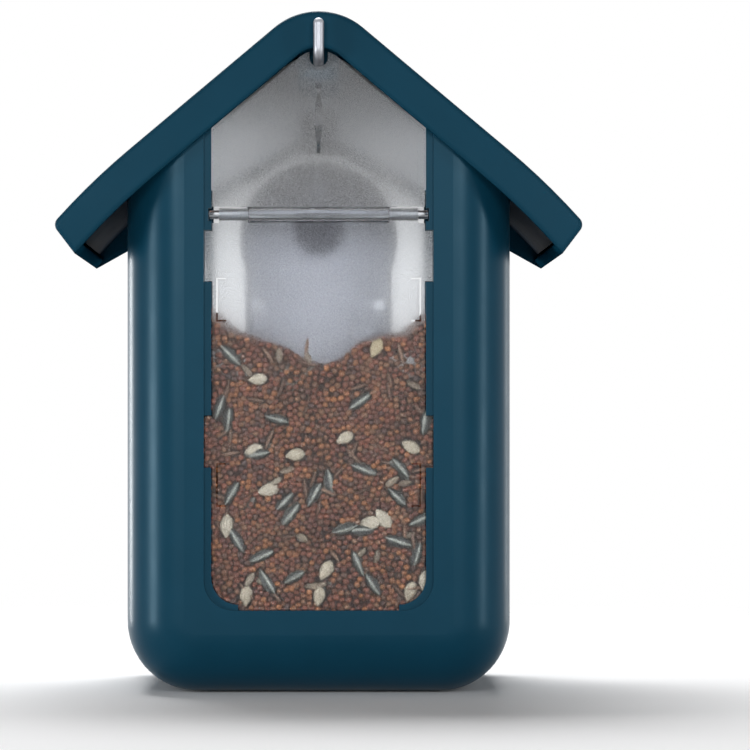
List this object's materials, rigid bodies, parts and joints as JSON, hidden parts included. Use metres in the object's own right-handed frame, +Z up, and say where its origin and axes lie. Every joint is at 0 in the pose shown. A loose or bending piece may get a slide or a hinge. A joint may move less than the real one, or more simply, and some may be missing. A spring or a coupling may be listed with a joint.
{
  "type": "smart bird feeder",
  "caption": "House-shaped hanging bird feeder with a pitched roof, a clear hinged filling door, a seed tray with a perch, and a camera module that pulls out.",
  "frame": {"origin": "on the ground plane under the middle of the shell's footprint, on the axis of the threaded insert, whose mouth is 0.4 mm above it; the feet stand on z = 0", "axes": "+Z up; +Y towards the camera and the seed tray (front), -Y towards the filling door (rear, the side that the picture shows); +X to the right as seen from the rear"},
  "size_m": [0.177, 0.175, 0.23],
  "materials": {
    "shell_blue": "dark blue moulded plastic with a fine texture",
    "soffit_dark": "dark grey moulded plastic",
    "screw_steel": "zinc plated steel",
    "rod_steel": "satin steel",
    "clear_plastic": "clear moulded plastic with a fine haze",
    "seed": "mixed dry seed, mostly red millet",
    "clip_dark": "black coated spring steel",
    "insert_brass": "brass",
    "rubber_dark": "soft matte rubber",
    "tray_blue": "dark blue moulded plastic",
    "perch_blue": "dark blue moulded plastic, slightly smoother than the shell",
    "case_grey": "pale grey moulded plastic",
    "liner_pale": "pale grey satin plastic",
    "ring_dark": "black gloss plastic",
    "lens_glass": "clear coated glass",
    "sensor_dark": "dark sensor package",
    "board_green": "green solder mask",
    "battery_foil": "silver foil pouch",
    "port_steel": "bright steel",
    "window_white": "milky translucent plastic"
  },
  "bodies": {
    "housing": {"outer_shell": "shell_blue", "roof_shell": "shell_blue", "soffit_left": "soffit_dark", "soffit_right": "soffit_dark", "roof_screws": "screw_steel", "hanger_rod": "rod_steel", "seed_bin": "clear_plastic", "gable_liner": "liner_pale", "seed_fill": "seed", "dock_clip": "clip_dark", "clip_screw": "screw_steel", "mount_insert": "insert_brass", "feet": "rubber_dark"},
    "window": {"rear_panel": "clear_plastic", "hinge_pin": "clear_plastic"},
    "door": {"rear_door": "clear_plastic"},
    "tray": {"seed_tray": "tray_blue", "tray_seed": "seed", "perch": "perch_blue"},
    "camera": {"module_front": "case_grey", "module_back": "case_grey", "case_gasket": "rubber_dark", "case_screws": "screw_steel", "lens_ring": "ring_dark", "lens_cover": "lens_glass", "lens_barrel": "ring_dark", "lens_element": "lens_glass", "image_sensor": "sensor_dark", "main_board": "board_green", "battery_cell": "battery_foil", "charge_port": "port_steel", "port_plug": "rubber_dark", "button_switch": "ring_dark", "motion_window": "window_white", "light_pipe": "window_white"},
    "button": {"power_button": "case_grey"}
  },
  "joints": [
    {"name": "rear_panel_pull", "type": "slide", "parent": "housing", "child": "window", "axis": [0, -1, 0], "range_m": [0, 0.03]},
    {"name": "door_hinge", "type": "hinge", "parent": "window", "child": "door", "pos_m": [0, -0.0593, 0.1619], "axis": [1, 0, 0], "range_deg": [0, 130]},
    {"name": "tray_pull", "type": "slide", "parent": "housing", "child": "tray", "axis": [0, 1, 0], "range_m": [0, 0.04]},
    {"name": "camera_pull", "type": "slide", "parent": "housing", "child": "camera", "axis": [0, 1, 0], "range_m": [0, 0.045]},
    {"name": "power_button_press", "type": "slide", "parent": "camera", "child": "button", "axis": [0, 1, 0], "range_m": [0, 0.0012], "stiffness_N_per_m": 500}
  ]
}
